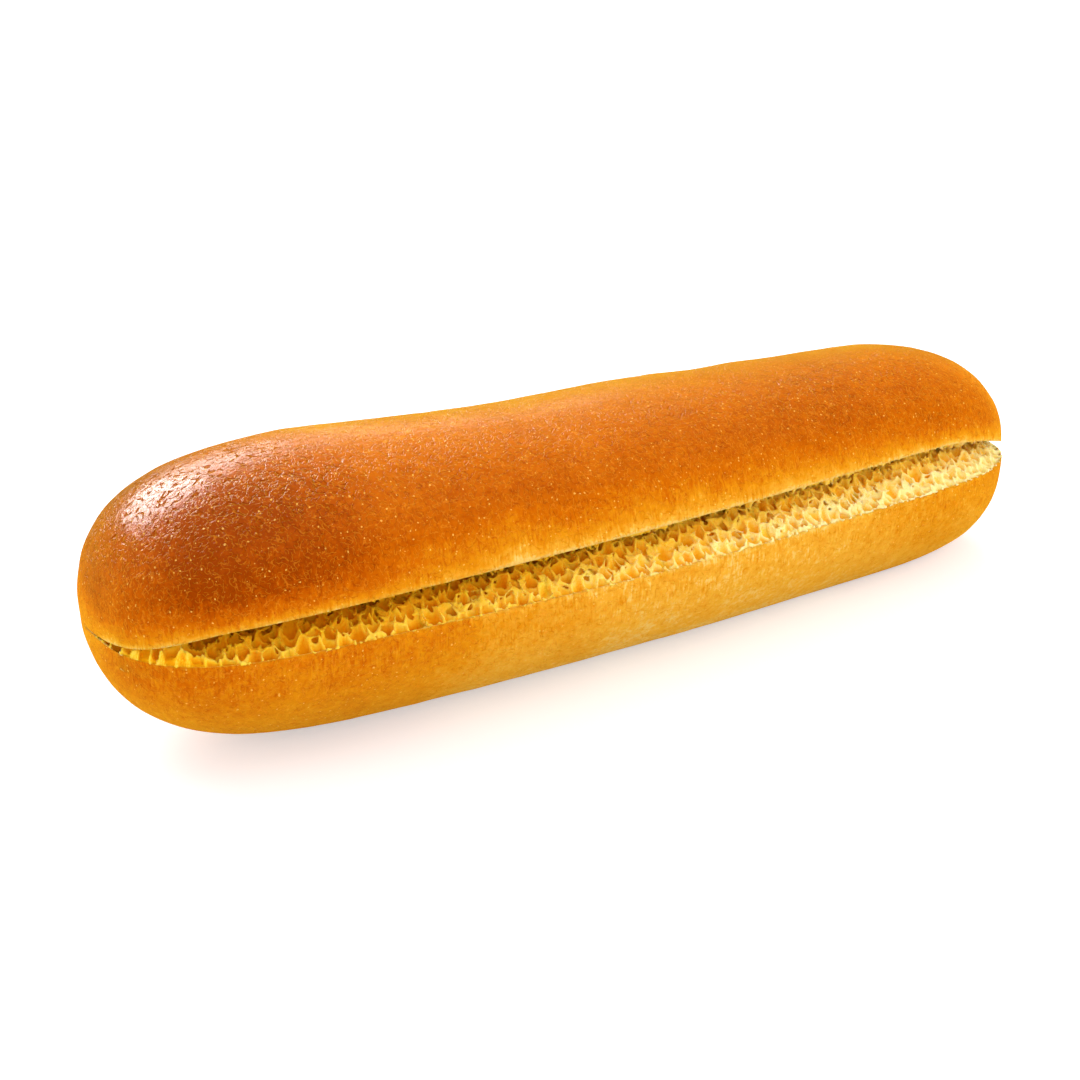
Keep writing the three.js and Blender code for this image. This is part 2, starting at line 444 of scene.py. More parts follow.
# The crumb is open foam on both faces of the cut.
crumb = {
    "step": 0.16,  # grid step where the crumb shows
    "upperStep": 0.34,
    "bands": ((-25, -18, 1.0), (-18, -12, 1.4), (-12, 6.2, 2.6)),  # y from and to, and times this step there
    "highest": (5.8, 2.6),  # of the lower and the upper crumb
    "cellSize": (2.3, 1.7),
    "jitter": (0.85, 0.85, 0.4),  # how far cells lie off a lattice: along, across and up
    "stretch": 1.2,  # cells are this much taller than wide
    "cellShift": 0.6,  # height of the torn surface in its layer of cells, whose middles lie near 0.5
    "wall": (0.2, 0.28),
    "closing": (0.3, 0.8),  # how much thicker walls get for each millimetre below the torn surface
    "pores": {"size": 0.9, "radius": 0.26, "jitter": (0.9, 0.9, 0.4), "closing": 0.5},
    # small cells beside the lip: width of that strip, wall, how fast they close, and how much beyond it
    "lace": {"strip": (2.0, 3.4), "wall": 0.07, "closing": 0.35, "shut": 0.6},
    "mound": (0.5, 0.66),  # share of the gap that the lower crumb fills
    "upperMound": 0.12,
    "riseOver": 8.5,
    "tipFill": {"share": 0.8, "to": 4, "over": 8},  # share of the gap filled at the left tip, and how far in
    "rough": ((2.3, 0.5), (0.7, 0.3)),  # raggedness: wave length and height
    "lipRough": 0.2,  # share of it at the lip
    "fibre": (0.5, 0.05),
    "peak": {"height": 1.3, "over": 0.8},  # walls stand up where three cells meet
    "slab": 2.2,  # depth below the cut face, and the most as a share of the bread there
    "slabMost": 0.4,
    "inset": 0.22,  # distance from the skin below the cut face, and how far it stands out above it
    "overhang": 0.12,
    "batter": 0.25,  # how much the slab's sides slope inwards for each millimetre down, and its ends more
    "endBatter": 0.5,
    "recess": 1.8,  # how far the upper crumb lies back behind the upper lip
    "openDepth": 12.0,  # cells are open to this distance from the lip
    "shutWall": 3.0,  # and have walls that much thicker further in
    # painted shade from 0, pale, to 1: all over, deep in cells, in from the lip, more on the left; painted
    # light at right and tip
    "paintedShade": {"all": 0.06, "deep": 1.3, "in": 0.45, "leftIn": 0.15, "left": 0.24, "right": 0.18, "tip": 0.1},
}


# Distances to the three nearest cell middles. Middles lie on a lattice of one step, each moved by a random
# share of a step, and the lattice of shifts repeats.
def nearestThree(places, seed, jitters):
    count = 24
    rng = np.random.default_rng(seed)
    shifts = [(0.5 + jitter * (rng.random((count,) * 3) - 0.5)).astype(np.float32) for jitter in jitters]
    places = [place.astype(np.float32) for place in np.broadcast_arrays(*places)]
    low = [np.floor(place).astype(np.int32) for place in places]
    one, two, three = (np.full(places[0].shape, 9.0, np.float32) for _ in range(3))
    for step in np.ndindex(3, 3, 3):
        cell = [c + s - 1 for c, s in zip(low, step)]
        index = tuple(c % count for c in cell)
        far = 0
        for c, shift, place in zip(cell, shifts, places):
            far = far + (c + shift[index] - place) ** 2
        three = np.maximum(two, np.minimum(three, far))
        two = np.maximum(one, np.minimum(two, far))
        one = np.minimum(one, far)
    return np.sqrt(one), np.sqrt(two), np.sqrt(three)


# Height of the torn surface over the cut face: the mound, a share of the gap reached over a distance from
# lip, tip and back, plus soft noise that fades towards the lip. The upper crumb lies back behind its lip.
# The second value says how much of the raggedness there is.
def tornSurface(x, y, nx, fromFront, fromLip, fromBack, fromTip, gap, isUpper):
    riseOver = crumb["riseOver"]
    rise = smooth(fromFront / riseOver) * smooth(fromTip / riseOver) * smooth(fromBack / 4)
    flat = np.stack(np.broadcast_arrays(x, y, 0 * x), axis=-1)[..., 0, :]
    rough = 0
    for length, size in crumb["rough"]:
        rough = rough + size * softNoise(flat / length + (40 if isUpper else 0))[..., None]
    if isUpper:
        edge = easeFrom(fromLip, 1.2, 4)
        filled = gap * rise * crumb["upperMound"]
        return filled + rough * edge * smooth(gap / 2) + 0.1 - crumb["recess"] * (1 - edge), edge
    edge = crumb["lipRough"] + (1 - crumb["lipRough"]) * smooth(fromLip / 2.2)
    mound = blend(*crumb["mound"], easeFrom(nx, -0.6, 1.2))
    tip = crumb["tipFill"]
    atTip = tip["share"] * (1 - easeFrom(fromTip, tip["to"], tip["over"])) * (nx < 0)
    atTip = atTip * easeFrom(fromLip, -0.1, 0.6)
    return gap * np.maximum(rise * mound, atTip) + rough * edge * smooth(gap / 2) + 0.1, edge


# The open foam at x, y and height h over the cut face: negative in the bread, positive in the air.
# Air is what lies above the torn surface, outside the outline, below the slab, or further from a cell's wall
# than half the wall's thickness, where that distance is half the difference to the two nearest middles.
def foamField(x, y, h, isUpper):
    nx = np.clip(x / halfLength, -1, 1)
    right = (nx + 1) / 2
    atRight = easeFrom(nx, 0.5, 0.4)
    _, crown, base, _, _ = sectionAt(nx)
    front, back = lipsAt(nx, isUpper)
    slope = np.gradient(front[:, 0, 0], x[:, 0, 0])[:, None, None]
    lean = np.sqrt(1 + slope ** 2)
    fromFront = y - front
    fromLip = fromFront / lean
    fromBack = np.minimum((back - y) / lean, roll["hingeY"] - y)
    fromTip = np.maximum(halfLength - np.abs(x), 0)
    gap = np.maximum(roll["hingeY"] - y, 0) * np.sin(openAngle(nx))
    top, edge = tornSurface(x, y, nx, fromFront, fromLip, fromBack, fromTip, gap, isUpper)
    # Cells are laid out from the torn surface, so that it opens them at their widest.
    spacing = blend(*crumb["cellSize"], right)
    run = np.concatenate([[0], np.cumsum(np.diff(x[:, 0, 0]) / ((spacing[1:] + spacing[:-1]) / 2)[:, 0, 0])])
    along = run[:, None, None] + (50 if isUpper else 0)
    up = (h - top) / crumb["stretch"]
    shift = crumb["cellShift"]
    one, two, three = nearestThree((along, y / spacing, up / spacing + shift), 3, crumb["jitter"])
    meeting = 1 - np.clip((three - one) * spacing / crumb["peak"]["over"], 0, 1)
    top = top + crumb["peak"]["height"] * (1 - 0.5 * atRight) * meeting ** 1.5 * edge * smooth(gap / 2)
    below = np.maximum(top - h, 0)
    wall = blend(*crumb["wall"], right) + blend(*crumb["closing"], right) * below
    wall = wall + crumb["shutWall"] * easeFrom(fromFront, crumb["openDepth"], 2)
    cells = (two - one) * spacing / 2 - wall / 2
    pore = crumb["pores"]
    size = pore["size"]
    small, second, _ = nearestThree((x / size, y / size, up / size + shift), 5, pore["jitter"])
    cells = np.maximum(cells, pore["radius"] - small * size - pore["closing"] * below)
    if not isUpper:
        lace = crumb["lace"]
        strip = blend(*lace["strip"], right)
        laceCells = (second - small) * size / 2 - lace["wall"] - lace["closing"] * below
        beyond = np.maximum(easeFrom(fromLip, 0.4 * strip, 0.6 * strip), atRight)
        cells = np.maximum(cells, laceCells - lace["shut"] * beyond)
        length, size = crumb["fibre"]
        places = np.stack([np.broadcast_to(p / length, cells.shape) for p in (x, y, h * 0.5)], axis=-1)
        cells = cells + size * softNoise(places)
    slab = np.minimum(crumb["slab"], crumb["slabMost"] * (crown if isUpper else base))
    under = np.maximum(-h, 0)
    inset = blend(crumb["inset"], -crumb["overhang"], easeFrom(h, -0.35, 0.35)) + crumb["batter"] * under
    field = np.maximum(h - top, cells)
    atEnd = inset - fromTip + crumb["endBatter"] * under
    for limit in (-(h + slab), inset - fromLip, inset - fromBack, atEnd):
        field = np.maximum(field, limit)
    return field.astype(np.float32), np.broadcast_to(top - h, field.shape).astype(np.float32)


# Makes air of all bread that isn't joined to the slab: what is joined spreads from it, one step at a time.
def dropLoose(field, startLayer):
    solid = field < 0
    joined = np.zeros_like(solid)
    joined[:, :, startLayer] = solid[:, :, startLayer]
    before = 0
    while joined.sum() > before:
        before = joined.sum()
        for axis in range(3):
            for ahead, behind in ((slice(1, None), slice(None, -1)), (slice(None, -1), slice(1, None))):
                to = tuple(ahead if a == axis else slice(None) for a in range(3))
                start = tuple(behind if a == axis else slice(None) for a in range(3))
                joined[to] |= joined[start] & solid[to]
    return np.where(solid & ~joined, 0.05, field)


# A surface where the field on a grid changes sign. Each grid cell that it crosses gets one point, at the
# mean of the crossings on the cell's edges, and each crossed edge gets one face, through the four cells
# round it.
def surfaceOf(field):
    shape = np.array(field.shape)
    total = np.zeros((*(shape - 1), 3), np.float32)
    hits = np.zeros(shape - 1, np.float32)
    faces = []
    for axis in range(3):
        others = [a for a in range(3) if a != axis]
        first = field[tuple(slice(None, -1) if a == axis else slice(None) for a in range(3))]
        second = field[tuple(slice(1, None) if a == axis else slice(None) for a in range(3))]
        crossed = (first < 0) != (second < 0)
        at = np.argwhere(crossed)
        low = first[crossed]
        high = second[crossed]
        place = at.astype(np.float32)
        place[:, axis] += low / (low - high)
        inside = np.all([(at[:, a] > 0) & (at[:, a] < shape[a] - 1) for a in others], axis=0)
        at, place, low = at[inside], place[inside], low[inside]
        around = []
        for back in ((0, 0), (1, 0), (1, 1), (0, 1)):
            cell = at.copy()
            cell[:, others[0]] -= back[0]
            cell[:, others[1]] -= back[1]
            around.append(np.ravel_multi_index(cell.T, shape - 1))
            hits += np.bincount(around[-1], minlength=hits.size).reshape(hits.shape)
            for a in range(3):
                total[..., a] += np.bincount(around[-1], place[:, a], hits.size).reshape(hits.shape)
        quad = np.stack(around, axis=1)
        outward = (low < 0) == (axis == 1)
        faces.append(np.where(outward[:, None], quad[:, ::-1], quad))
    used = hits.ravel() > 0
    number = np.cumsum(used) - 1
    points = total.reshape(-1, 3)[used] / hits.ravel()[used][:, None]
    return points, number[np.concatenate(faces)]


# Reads a value kept on the grid at places between its points, from the nearest grid point.
def readGrid(values, places):
    index = np.rint(places).astype(int)
    return values[index[:, 0], index[:, 1], index[:, 2]]


# The crumb's painted shade: the sum of the dictionary's amounts, each eased in by depth, distance from the
# lip or place along the roll. Cells and the crumb under the upper half are darker, the right and the tip
# paler as painted light.
def crumbPaintedShade(nx, fromFront, deep):
    paintedShade = crumb["paintedShade"]
    inwards = paintedShade["in"] * easeFrom(fromFront, 1, 6)
    leftInwards = paintedShade["leftIn"] * easeFrom(-nx, 0.35, 0.3) * smooth(fromFront / 3)
    shade = paintedShade["deep"] * deep + inwards + leftInwards + paintedShade["all"] + paintedShade["left"] * smooth(-nx / 0.5)
    return shade - paintedShade["right"] * easeFrom(nx, -0.1, 0.6) - paintedShade["tip"] * easeFrom(nx, 0.6, 0.25)


# One half's crumb, as pieces side by side along the roll. Neighbours share one layer of the grid, so no gap
# shows.
def makeCrumb(name, isUpper, pieceCount):
    step = (crumb["upperStep"] if isUpper else crumb["step"]) * 1
    x = np.arange(-halfLength - 0.5, halfLength + 0.6, step)
    y = np.concatenate([np.arange(start, end, step * coarser) for start, end, coarser in crumb["bands"]])
    h = np.arange(-crumb["slab"] - 2 * step, crumb["highest"][1 if isUpper else 0], step)
    field, below = foamField(x[:, None, None], y[None, :, None], h[None, None, :], isUpper)
    field = dropLoose(field, 3)
    ends = np.linspace(0, len(x) - 1, pieceCount + 1).astype(int)
    made = []
    for number, (first, last) in enumerate(zip(ends[:-1], ends[1:])):
        start = max(first - 1, 0)
        part = field[start:last + 2].copy()
        part[:first - start] = 1
        part[last - start + 1:] = 1
        places, faces = surfaceOf(part)
        places[:, 0] += start
        deep = np.clip(readGrid(below, places) / crumb["slab"], 0, 1)
        px, py, ph = (np.interp(places[:, a], np.arange(len(g)), g) for a, g in enumerate((x, y, h)))
        nx = np.clip(px / halfLength, -1, 1)
        cutZ = sectionAt(nx)[4]
        if isUpper:
            angle = openAngle(nx)
            points = opened(nx, py, cutZ, True)
            points[:, 1] -= ph * np.sin(angle)
            points[:, 2] -= ph * np.cos(angle)
            faces = faces[:, ::-1]
        else:
            points = np.stack([px, py, cutZ + ph], axis=1)
        # painted shade, kept in the mesh as its deep value
        shade = crumbPaintedShade(nx, py - lipsAt(nx, isUpper)[0], deep)
        piece = makeObject(name + str(number + 1), points, faces, {"deep": shade})
        piece.data.shade_smooth()
        made.append(piece)
    return made


crumbPieces = makeCrumb("crumbLower", False, 8) + makeCrumb("crumbUpper", True, 2)
print("crumb", [len(piece.data.polygons) for piece in crumbPieces])


# Adds a node. Inputs are values, or other nodes' outputs to link.
def node(tree, kind, inputs=None, **settings):
    made = tree.nodes.new(kind)
    for key, value in settings.items():
        setattr(made, key, value)
    for key, value in (inputs or {}).items():
        if isinstance(value, bpy.types.NodeSocket):
            tree.links.new(value, made.inputs[key])
        else:
            made.inputs[key].default_value = value
    return made


# One sum on plain values.
def calc(tree, operation, *values):
    return node(tree, "ShaderNodeMath", dict(enumerate(values)), operation=operation).outputs[0]


# One sum on a vector and another vector, or a number where it is scaled.
def vectorCalc(tree, operation, vector, other):
    inputs = {0: vector, 3 if operation == "SCALE" else 1: other}
    return node(tree, "ShaderNodeVectorMath", inputs, operation=operation).outputs[0]


# A value plus each part times its share.
def addParts(tree, value, *parts):
    for part, share in parts:
        value = calc(tree, "ADD", value, calc(tree, "MULTIPLY", part, share))
    return value


# A value spread smoothly from one range to another, held at the ends.
def spread(tree, value, fromLow, fromHigh, toLow=0.0, toHigh=1.0):
    inputs = {0: value, 1: fromLow, 2: fromHigh, 3: toLow, 4: toHigh}
    return node(tree, "ShaderNodeMapRange", inputs, interpolation_type="SMOOTHSTEP").outputs[0]


# Goes from a first colour to a second, fixed one by a share.
def mixColour(tree, share, first, second):
    return node(tree, "ShaderNodeMix", {0: share, 6: first, 7: (*second, 1)}, data_type="RGBA").outputs[2]


# Noise from 0 to 1 with features of a size.
def noiseAt(tree, vector, size, detail=2.0, roughness=0.5, output="Fac"):
    inputs = {"Vector": vector, "Scale": 1 / size, "Detail": detail, "Roughness": roughness}
    return node(tree, "ShaderNodeTexNoise", inputs).outputs[output]


# The colour at a value, in straight lines between the stops.
def ramp(tree, value, stops):
    made = node(tree, "ShaderNodeValToRGB", {"Fac": value})
    points = made.color_ramp.elements
    while len(points) < len(stops):
        points.new(0.5)
    for point, (place, colour) in zip(points, stops):
        point.position = place
        point.color = (*colour, 1)
    return made.outputs["Color"]


# Colours are given as they look on a screen, 0 to 255, and turned into the light values that Blender mixes.
def seen(red, green, blue):
    levels = [value / 255 for value in (red, green, blue)]
    return tuple(c / 12.92 if c <= 0.04045 else ((c + 0.055) / 1.055) ** 2.4 for c in levels)


# Object coordinates in millimetres, and uneven baking as 2 noise - 1 in two sizes: broad clouds and small
# mottling.
def makeMottle():
    group = bpy.data.node_groups.new("unevenBake", "ShaderNodeTree")
    for name in ("Broad", "Small"):
        group.interface.new_socket(name=name, in_out="INPUT", socket_type="NodeSocketFloat")
    group.interface.new_socket(name="Millimetres", in_out="OUTPUT", socket_type="NodeSocketVector")
    for name in ("Clouds", "Mottling"):
        group.interface.new_socket(name=name, in_out="OUTPUT", socket_type="NodeSocketFloat")
    given = node(group, "NodeGroupInput").outputs
    put = node(group, "NodeGroupOutput").inputs
    where = vectorCalc(group, "SCALE", node(group, "ShaderNodeTexCoord").outputs["Object"], 1 / mm)
    group.links.new(where, put["Millimetres"])
    for size, name in (("Broad", "Clouds"), ("Small", "Mottling")):
        scale = calc(group, "DIVIDE", 1.0, given[size])
        inputs = {"Vector": where, "Scale": scale, "Detail": 3.0, "Roughness": 0.6}
        level = node(group, "ShaderNodeTexNoise", inputs).outputs["Fac"]
        group.links.new(calc(group, "SUBTRACT", calc(group, "MULTIPLY", level, 2.0), 1.0), put[name])
    return group


mottle = makeMottle()


# Starts a material with what its finish gives as plain values: its tree, its shader and the mottling group.
def startMaterial(name, finish):
    material = bpy.data.materials.new(name)
    material.use_nodes = True
    tree = material.node_tree
    tree.nodes.clear()
    out = tree.nodes.new("ShaderNodeOutputMaterial")
    shader = tree.nodes.new("ShaderNodeBsdfPrincipled")
    tree.links.new(shader.outputs[0], out.inputs[0])
    for key, value in finish["shader"].items():
        shader.inputs[key].default_value = value
    uneven = tree.nodes.new("ShaderNodeGroup")
    uneven.node_tree = mottle
    uneven.inputs["Broad"].default_value, uneven.inputs["Small"].default_value = finish["uneven"]
    return material, tree, shader, uneven.outputs


# A value that the mesh keeps at its points.
def attribute(tree, name):
    return node(tree, "ShaderNodeAttribute", attribute_name=name).outputs["Fac"]


# Sizes and distances are millimetres. Shares say how much a pattern adds to the baking or to the relief.
crustFinish = {
    # from the cut edge and the base to the best baked part
    "bake": (
        (0.0, seen(240, 198, 104)),
        (0.12, seen(235, 170, 52)),
        (0.34, seen(221, 139, 14)),
        (0.6, seen(200, 100, 3)),
        (0.82, seen(178, 78, 1)),
        (1.0, seen(150, 58, 1)),
    ),
    "uneven": (11.0, 1.7),  # size of the clouds and of the mottling
    "bakeShares": {"clouds": 0.16, "mottling": 0.2, "streak": 0.7, "fine": 0.25, "paintedGrooveShade": 0.1},
    # strokes: where their noise starts, size, width, and the level over which they are kept
    # light strokes: painted highlights on fine ridges, which the bump also raises
    "light": ((0, 0, 0), 1.0, 0.034, 0.48),
    "lightSmall": ((31, 7, 3), 0.7, 0.04, 0.52),
    # dark strokes: painted shade in fine grooves, which the bump also cuts
    "paintedGrooveShade": ((11, 41, 23), 1.1, 0.04, 0.5),
    "pitStroke": ((17, 5, 29), 1.5, 0.06, 0.56),
    # dots: size of a cell, largest radius as a share of it, and waviness
    # specks: pale flecks, partly painted glints of tiny bumps
    "speckAndGlintDot": (0.75, 0.2, 0.5),
    # pits: dents whose dark colour is painted shade in the dent
    "pitDot": (2.1, 0.2, 0.7),
    "pitBake": (0.6, 0.85, 0.15, 1.0),  # baking from and to, over which pits grow, and their share there
    # painted highlight colour of the light strokes, and its share
    "paintedRidgeHighlight": seen(250, 158, 40),
    "paintedRidgeHighlightShare": 0.25,
    # colour of the pale flecks and painted glints, and its share
    "speckAndGlint": seen(255, 204, 96),
    "speckAndGlintShare": 0.6,
    # painted shade colour of the pits
    "pitAndShade": seen(140, 52, 4),
    "pitShare": (0.08, 0.27),  # painted shade on all crust, and more where it is glazed, where the dent breaks the gleam
    "streakSize": 0.42,
    "streakDrawn": 0.2,  # distance from the lip counts this much, which draws streaks out across the lip
    "streakReach": (2.0, 12.0),  # distance from the lip over which streaks fade out
    "wrinkle": {"size": 0.9, "along": 0.45},
    "relief": {"wrinkle": 0.6, "light": 0.3, "paintedGrooveShade": -0.3, "streak": 0.6, "pitAndShade": 0.3},
    "bump": {"Strength": 0.9, "Distance": 0.22 * mm},
    "roughness": 0.42,
    "roughnessUneven": 0.1,
    "shader": {
        "Coat Roughness": 0.19,
        "Specular IOR Level": 0.0,
        "Sheen Weight": 0.5,
        "Sheen Tint": (1.0, 0.52, 0.04, 1),
        "Sheen Roughness": 0.45,
        "Subsurface Weight": 0.25,
        "Subsurface Radius": (0.9, 0.35, 0.08),  # how far red, green and blue light spreads
        "Subsurface Scale": mm,
    },
}


# Thin bands where a noise is near its middle value, kept in patches where a second noise is above a level.
def strokes(tree, where, shift, size, width, level):
    moved = vectorCalc(tree, "ADD", where, shift)
    offMiddle = calc(tree, "ABSOLUTE", calc(tree, "SUBTRACT", noiseAt(tree, moved, size, 0.6), 0.5))
    band = spread(tree, offMiddle, 0.3 * width, width, 1.0, 0.0)
    patch = spread(tree, noiseAt(tree, moved, size * 0.75, 0.0), level - 0.05, level + 0.05)
    return calc(tree, "MULTIPLY", band, patch)


# Round dots at the middles of Voronoi cells, of random size up to a share of a cell, bent by a noise.
def dots(tree, where, size, share, waviness):
    bend = noiseAt(tree, where, size / 1.1, 1.0, output="Color")
    where = vectorCalc(tree, "ADD", where, vectorCalc(tree, "SCALE", bend, waviness * size))
    cells = node(tree, "ShaderNodeTexVoronoi", {"Vector": where, "Scale": 1 / size, "Randomness": 1.0})
    chance = node(tree, "ShaderNodeSeparateColor", {0: cells.outputs["Color"]}).outputs[0]
    radius = spread(tree, chance, 0.15, 0.95, -0.05, share)
    return spread(tree, calc(tree, "SUBTRACT", cells.outputs["Distance"], radius), -0.05, 0.02, 1.0, 0.0)


# Streaks from -0.5 to 0.5: noise drawn out across the lip, near it, stronger and weaker in patches.
def streaks(tree, where):
    fromLip = attribute(tree, "fromLip")
    drawn = calc(tree, "MULTIPLY", fromLip, crustFinish["streakDrawn"])
    place = node(tree, "ShaderNodeCombineXYZ", {0: attribute(tree, "along"), 1: drawn}).outputs[0]
    streak = calc(tree, "SUBTRACT", noiseAt(tree, place, crustFinish["streakSize"]), 0.5)
    streak = calc(tree, "MULTIPLY", streak, spread(tree, fromLip, *crustFinish["streakReach"], 1.0, 0.0))
    patch = spread(tree, noiseAt(tree, where, 2.6, 0.0), 0.35, 0.65, 0.2, 1.0)
    return calc(tree, "MULTIPLY", streak, patch)


# The crust's colour follows its baking, with painted highlights on light strokes, pale flecks and painted
# glints as specks, and painted shade on dark strokes and pits. Its coat follows the glaze.
def makeCrustMaterial():
    material, tree, shader, (where, clouds, mottling) = startMaterial("glazedCrust", crustFinish)
    bake = attribute(tree, "bake")
    glaze = attribute(tree, "glaze")
    light = strokes(tree, where, *crustFinish["light"])
    light = calc(tree, "MAXIMUM", light, strokes(tree, where, *crustFinish["lightSmall"]))
    # painted shade of fine grooves
    paintedGrooveShade = strokes(tree, where, *crustFinish["paintedGrooveShade"])
    # specks: pale flecks, partly painted glints
    speckAndGlint = dots(tree, where, *crustFinish["speckAndGlintDot"])
    # pits: dents, darkened with painted shade
    pitAndShade = dots(tree, where, *crustFinish["pitDot"])
    pitAndShade = calc(tree, "MAXIMUM", pitAndShade, strokes(tree, where, *crustFinish["pitStroke"]))
    pitAndShade = calc(tree, "MULTIPLY", pitAndShade, spread(tree, bake, *crustFinish["pitBake"]))
    streak = streaks(tree, where)
    fine = calc(tree, "SUBTRACT", noiseAt(tree, where, 0.55), 0.5)
    patterns = {"clouds": clouds, "mottling": mottling, "streak": streak, "fine": fine, "paintedGrooveShade": paintedGrooveShade}
    parts = [(patterns[key], share) for key, share in crustFinish["bakeShares"].items()]
    colour = ramp(tree, addParts(tree, bake, *parts), crustFinish["bake"])
    # painted highlights of the light strokes and pale flecks with painted glints go into the colour
    for key, pattern in (("paintedRidgeHighlight", light), ("speckAndGlint", speckAndGlint)):
        share = calc(tree, "MULTIPLY", pattern, crustFinish[key + "Share"])
        colour = mixColour(tree, share, colour, crustFinish[key])
    everywhere, glazed = crustFinish["pitShare"]
    share = calc(tree, "MULTIPLY", pitAndShade, everywhere)
    share = addParts(tree, share, (calc(tree, "MULTIPLY", pitAndShade, glaze), glazed))
    tree.links.new(mixColour(tree, share, colour, crustFinish["pitAndShade"]), shader.inputs["Base Color"])
    relief = crustFinish["relief"]
    wrinkle = crustFinish["wrinkle"]
    drawn = vectorCalc(tree, "MULTIPLY", where, (wrinkle["along"], 1.0, 1.0))
    height = calc(tree, "MULTIPLY", noiseAt(tree, drawn, wrinkle["size"], 3.0, 0.55), relief["wrinkle"])
    parts = ((light, relief["light"]), (paintedGrooveShade, relief["paintedGrooveShade"]), (streak, relief["streak"]))
    height = addParts(tree, height, *parts)
    pitDepth = calc(tree, "MULTIPLY", pitAndShade, calc(tree, "ADD", relief["pitAndShade"], glaze))
    height = calc(tree, "SUBTRACT", height, pitDepth)
    bump = node(tree, "ShaderNodeBump", {"Height": height, **crustFinish["bump"]})
    tree.links.new(bump.outputs[0], shader.inputs["Normal"])
    tree.links.new(bump.outputs[0], shader.inputs["Coat Normal"])
    rough = addParts(tree, crustFinish["roughness"], (mottling, crustFinish["roughnessUneven"]))
    tree.links.new(rough, shader.inputs["Roughness"])
    dull = calc(tree, "SUBTRACT", 1.0, calc(tree, "MULTIPLY", pitAndShade, 0.9))
    tree.links.new(calc(tree, "MULTIPLY", glaze, dull), shader.inputs["Coat Weight"])
    return material


crumbFinish = {
    # painted shade: pale on the torn edges, amber down in the cells where shade falls
    "depth": (
        (0.0, seen(255, 230, 154)),
        (0.12, seen(255, 215, 116)),
        (0.3, seen(254, 202, 72)),
        (0.6, seen(247, 184, 34)),
        (1.0, seen(234, 154, 10)),
    ),
    "uneven": (12.0, 1.2),
    "cloudShare": 0.08,
    "mottlingShare": 0.15,
    "grain": 0.25,
    "bump": {"Strength": 0.3, "Distance": 0.1 * mm},
    "shader": {
        "Roughness": 0.75,
        "Specular IOR Level": 0.0,
        "Subsurface Weight": 0.6,
        "Subsurface Radius": (1.3, 0.9, 0.45),
        "Subsurface Scale": mm,
    },
}


# The crumb's colour follows its painted shade, a little uneven, and fine grain roughens its walls.
def makeCrumbMaterial():
    material, tree, shader, (where, clouds, mottling) = startMaterial("openCrumb", crumbFinish)
    parts = ((mottling, crumbFinish["mottlingShare"]), (clouds, crumbFinish["cloudShare"]))
    # the deep value holds the crumb's painted shade
    level = addParts(tree, attribute(tree, "deep"), *parts)
    tree.links.new(ramp(tree, level, crumbFinish["depth"]), shader.inputs["Base Color"])
    grain = noiseAt(tree, where, crumbFinish["grain"])
    bump = node(tree, "ShaderNodeBump", {"Height": grain, **crumbFinish["bump"]})
    tree.links.new(bump.outputs[0], shader.inputs["Normal"])
    return material


crustPiece.data.materials.append(makeCrustMaterial())
crumbMaterial = makeCrumbMaterial()
for piece in crumbPieces:
    piece.data.materials.append(crumbMaterial)
for piece, slot in [(crustPiece, "crust")] + [(piece, "crumb") for piece in crumbPieces]:
    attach(piece, "root")
    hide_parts("roll")
print("materials")


# Floor, light and camera. The floor and the lamps are in metres.
studio = {
    "floorHalf": 4.0,
    "floorColour": (0.7, 0.7, 0.7),
    "floorGlow": 0.46,  # only the camera sees it, and it keeps the shadow pale
    "worldStrength": 0.91,
    "lampAim": (-0.01, 0.0, 0.02),
    # name, direction in which it stands, distance, width and height, and power
    "glossLamps": (
        ("backBox", (-0.24, 0.78, 0.58), 0.75, (0.5, 0.52), 6.8),
        ("rimBox", (0.1, 0.87, 0.46), 0.85, (0.42, 0.38), 1.7),
        ("edgeBox", (0.36, 0.86, 0.36), 0.85, (0.42, 0.3), 0.3),
    ),
    "mattLamps": (
        ("backFill", (0.1, 0.75, 0.75), 1.0, (1.4, 0.9), 12.5),
        ("leftFill", (-0.9, 0.45, 0.25), 1.0, (0.6, 0.5), 1.2),
        ("rightFill", (0.8, -0.45, 0.4), 1.0, (0.5, 0.5), 2.4),
        ("frontFill", (-0.25, -0.85, 0.4), 1.1, (0.9, 0.5), 3.4),
    ),
    # degrees and millimetres, fitted to the photograph
    "camera": {"azimuth": -31.64, "elevation": 21.72, "tilt": -2.63, "distance": 325.2},
    "cameraTarget": (-7.8, 0.0, 17.38),
    "lens": 70.03,
}


# A plain floor that glows a little for the camera alone.
def makeFloor():
    mesh = bpy.data.meshes.new("floor")
    half = studio["floorHalf"]
    corners = [(-half, -half, 0), (half, -half, 0), (half, half, 0), (-half, half, 0)]
    mesh.from_pydata(corners, [], [(0, 1, 2, 3)])
    floor = bpy.data.objects.new("floor", mesh)
    bpy.context.scene.collection.objects.link(floor)
    material = bpy.data.materials.new("paleFloor")
    material.use_nodes = True
    tree = material.node_tree
    shader = tree.nodes["Principled BSDF"]
    shader.inputs["Base Color"].default_value = (*studio["floorColour"], 1)
    shader.inputs["Roughness"].default_value = 0.9
    shader.inputs["Specular IOR Level"].default_value = 0.0
    shader.inputs["Emission Color"].default_value = (1, 1, 1, 1)
    seenByCamera = node(tree, "ShaderNodeLightPath").outputs["Is Camera Ray"]
    glow = calc(tree, "MULTIPLY", seenByCamera, studio["floorGlow"])
    tree.links.new(glow, shader.inputs["Emission Strength"])
    mesh.materials.append(material)
    floor.visible_glossy = False


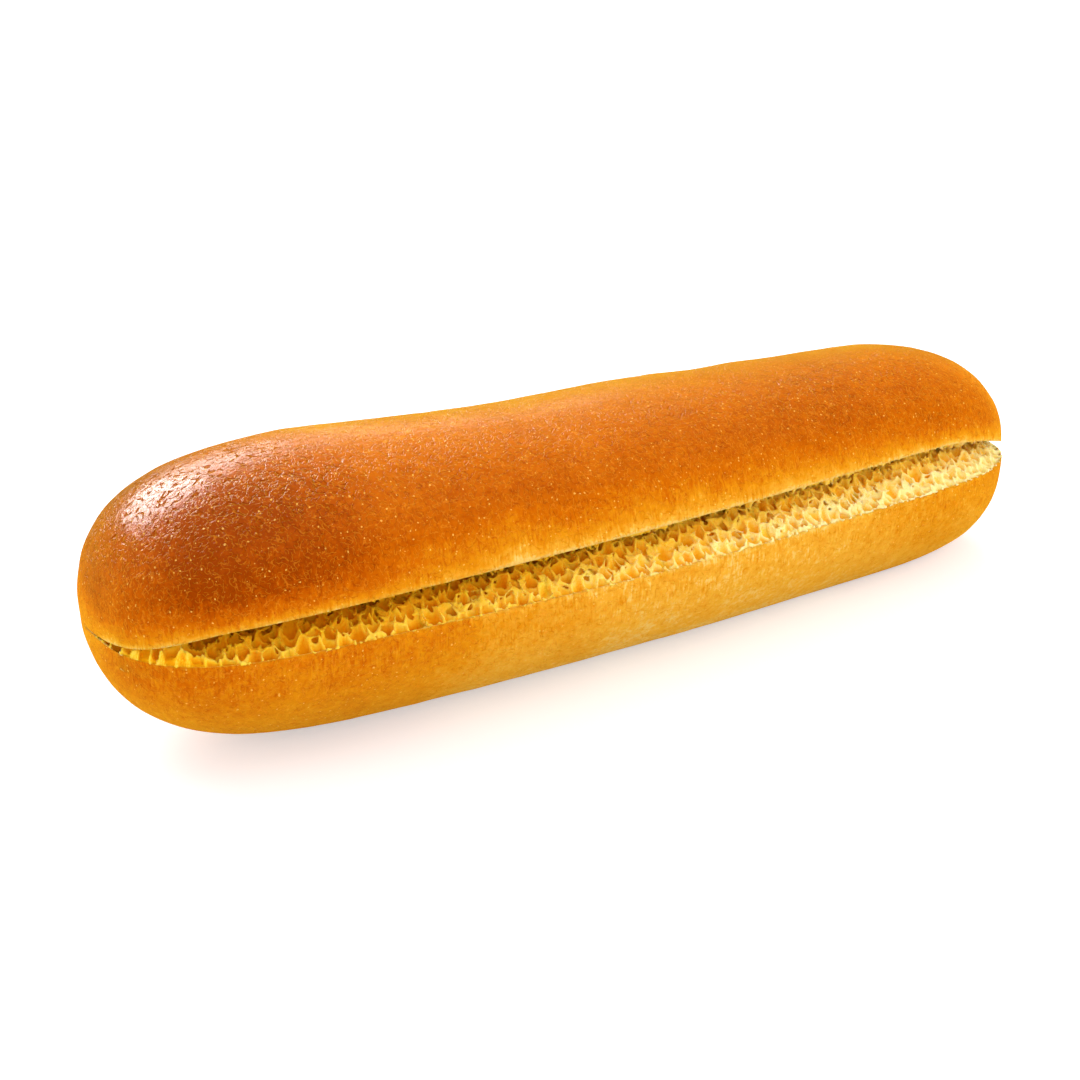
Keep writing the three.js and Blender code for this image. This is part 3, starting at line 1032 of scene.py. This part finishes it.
# Even white light from all sides.
def makeWorld():
    world = bpy.data.worlds.new("studio")
    bpy.context.scene.world = world
    world.use_nodes = True
    light = world.node_tree.nodes["Background"]
    light.inputs["Color"].default_value = (1, 1, 1, 1)
    light.inputs["Strength"].default_value = studio["worldStrength"]
    world.cycles_visibility.glossy = False  # gloss shows the lamps, not the room


# Round lamps light the gloss alone, and square ones all that is matt.
def makeLamps(lamps, isGloss):
    aim = Vector(studio["lampAim"])
    for name, direction, distance, size, power in lamps:
        data = bpy.data.lights.new(name, "AREA")
        data.shape = "ELLIPSE" if isGloss else "RECTANGLE"
        data.size, data.size_y = size
        data.energy = power
        lamp = bpy.data.objects.new(name, data)
        bpy.context.scene.collection.objects.link(lamp)
        lamp.location = aim + Vector(direction).normalized() * distance
        lamp.rotation_euler = (lamp.location - aim).to_track_quat("Z", "Y").to_euler()
        lamp.visible_glossy = isGloss
        lamp.visible_diffuse = not isGloss
        lamp.visible_camera = False


# The camera stands back from its target by azimuth and elevation, and tilts about the line between them.
def makeCamera():
    view = studio["camera"]
    azimuth, elevation, tilt = (math.radians(view[key]) for key in ("azimuth", "elevation", "tilt"))
    flat = math.cos(elevation)
    back = Vector((math.sin(azimuth) * flat, -math.cos(azimuth) * flat, math.sin(elevation)))
    right = Vector((math.cos(azimuth), math.sin(azimuth), 0))
    up = back.cross(right)
    axes = (right * math.cos(tilt) + up * math.sin(tilt), up * math.cos(tilt) - right * math.sin(tilt), back)
    place = (Vector(studio["cameraTarget"]) + Vector((0, shiftY, 0)) + back * view["distance"]) * mm
    data = bpy.data.cameras.new("camera")
    data.lens = studio["lens"]
    data.sensor_width = 36
    data.clip_start = 0.01
    camera = bpy.data.objects.new("camera", data)
    bpy.context.scene.collection.objects.link(camera)
    camera.matrix_world = Matrix.Translation(place) @ Matrix(axes).transposed().to_4x4()
    bpy.context.scene.camera = camera


makeFloor()
makeWorld()
makeLamps(studio["glossLamps"], True)
makeLamps(studio["mattLamps"], False)
makeCamera()
bpy.context.scene.view_settings.view_transform = "Standard"
print("studio")

bpy.context.view_layer.update()
